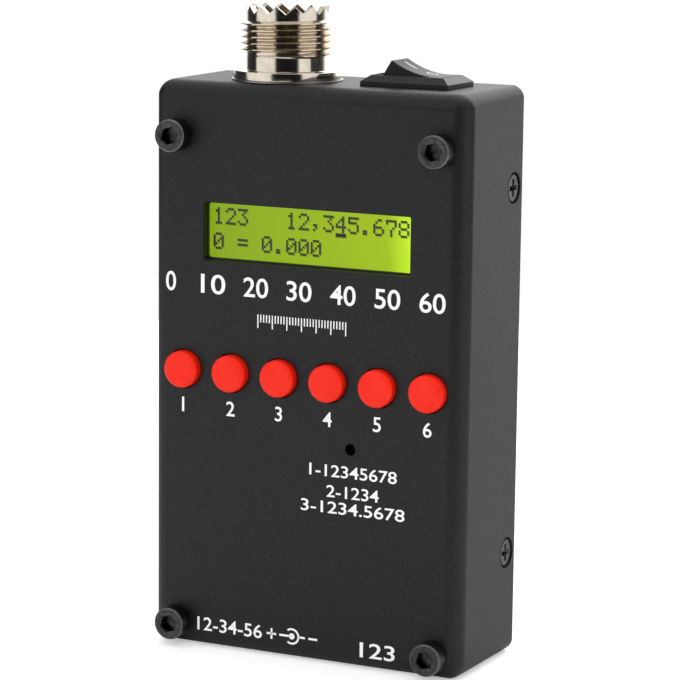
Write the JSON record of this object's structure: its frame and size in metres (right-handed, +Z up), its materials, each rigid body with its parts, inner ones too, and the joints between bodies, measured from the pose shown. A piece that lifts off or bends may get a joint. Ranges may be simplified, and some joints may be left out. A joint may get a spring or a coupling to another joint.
{
  "type": "antenna analyzer",
  "caption": "Hand-held antenna analyzer in a flat metal box, with a character display, a row of round keys, a rocker power switch and a threaded coaxial jack on top.",
  "frame": {"origin": "centre of the bottom face, which the object stands on", "axes": "+Z up along the case, -Y towards the front panel, +X to the right seen from the front"},
  "size_m": [0.0576, 0.026, 0.109],
  "materials": {
    "shell_paint": "black fine-textured powder coat on aluminium",
    "screw_black": "black oxide on steel",
    "brass_hex": "turned brass",
    "steel": "zinc-plated steel",
    "board_green": "green solder resist on glass-fibre board",
    "display_lime": "backlit yellow-green liquid crystal glass",
    "backlight_white": "milky light guide",
    "black_plastic": "moulded black nylon",
    "stem_plastic": "natural acetal",
    "key_red": "satin red ABS",
    "lamp_clear": "frosted epoxy",
    "nickel": "bright nickel plate on brass",
    "white_plastic": "white PTFE and nylon",
    "contact_brass": "plated spring brass",
    "switch_plastic": "black moulded nylon",
    "cell_foil": "laminated pouch foil",
    "foam": "closed-cell foam",
    "chip_epoxy": "moulded epoxy",
    "capacitor_sleeve": "shrink sleeve",
    "copper_wire": "tinned copper wire",
    "wire_red": "insulated wire"
  },
  "bodies": {
    "case": {"front_shell": "shell_paint", "rear_cover": "shell_paint", "panel_screws": "screw_black", "side_screws": "screw_black", "spacers": "brass_hex", "board_screws": "steel", "crystal_can": "steel", "port_shell": "steel", "main_board": "board_green", "display_board": "board_green", "display_glass": "display_lime", "display_backlight": "backlight_white", "display_header": "black_plastic", "push_switches": "black_plastic", "inlet_body": "black_plastic", "port_tongue": "black_plastic", "charge_lamp": "lamp_clear", "coax_washer": "nickel", "coax_shell": "nickel", "coax_nut": "nickel", "inlet_pin": "nickel", "coax_insulator": "white_plastic", "battery_plug": "white_plastic", "coax_contact": "contact_brass", "switch_terminals": "contact_brass", "switch_frame": "switch_plastic", "battery_cell": "cell_foil", "battery_pad": "foam", "controller_chip": "chip_epoxy", "generator_chip": "chip_epoxy", "charger_chip": "chip_epoxy", "capacitors": "capacitor_sleeve", "coax_lead": "copper_wire", "switch_leads": "wire_red", "battery_leads": "wire_red"},
    "rocker": {"rocker": "switch_plastic"},
    "key_1": {"key_cap_1": "key_red", "key_stem_1": "stem_plastic"},
    "key_2": {"key_cap_2": "key_red", "key_stem_2": "stem_plastic"},
    "key_3": {"key_cap_3": "key_red", "key_stem_3": "stem_plastic"},
    "key_4": {"key_cap_4": "key_red", "key_stem_4": "stem_plastic"},
    "key_5": {"key_cap_5": "key_red", "key_stem_5": "stem_plastic"},
    "key_6": {"key_cap_6": "key_red", "key_stem_6": "stem_plastic"}
  },
  "joints": [
    {"name": "key_1_press", "type": "slide", "parent": "case", "child": "key_1", "axis": [0, 1, 0], "range_m": [0, 0.00025], "stiffness_N_per_m": 6000, "springref_m": -0.00002},
    {"name": "key_2_press", "type": "slide", "parent": "case", "child": "key_2", "axis": [0, 1, 0], "range_m": [0, 0.00025], "stiffness_N_per_m": 6000, "springref_m": -0.00002},
    {"name": "key_3_press", "type": "slide", "parent": "case", "child": "key_3", "axis": [0, 1, 0], "range_m": [0, 0.00025], "stiffness_N_per_m": 6000, "springref_m": -0.00002},
    {"name": "key_4_press", "type": "slide", "parent": "case", "child": "key_4", "axis": [0, 1, 0], "range_m": [0, 0.00025], "stiffness_N_per_m": 6000, "springref_m": -0.00002},
    {"name": "key_5_press", "type": "slide", "parent": "case", "child": "key_5", "axis": [0, 1, 0], "range_m": [0, 0.00025], "stiffness_N_per_m": 6000, "springref_m": -0.00002},
    {"name": "key_6_press", "type": "slide", "parent": "case", "child": "key_6", "axis": [0, 1, 0], "range_m": [0, 0.00025], "stiffness_N_per_m": 6000, "springref_m": -0.00002},
    {"name": "power_rocker", "type": "hinge", "parent": "case", "child": "rocker", "pos_m": [0.0142, 0.0006, 0.09395], "axis": [0, -1, 0], "range_deg": [0, 29.2]}
  ]
}
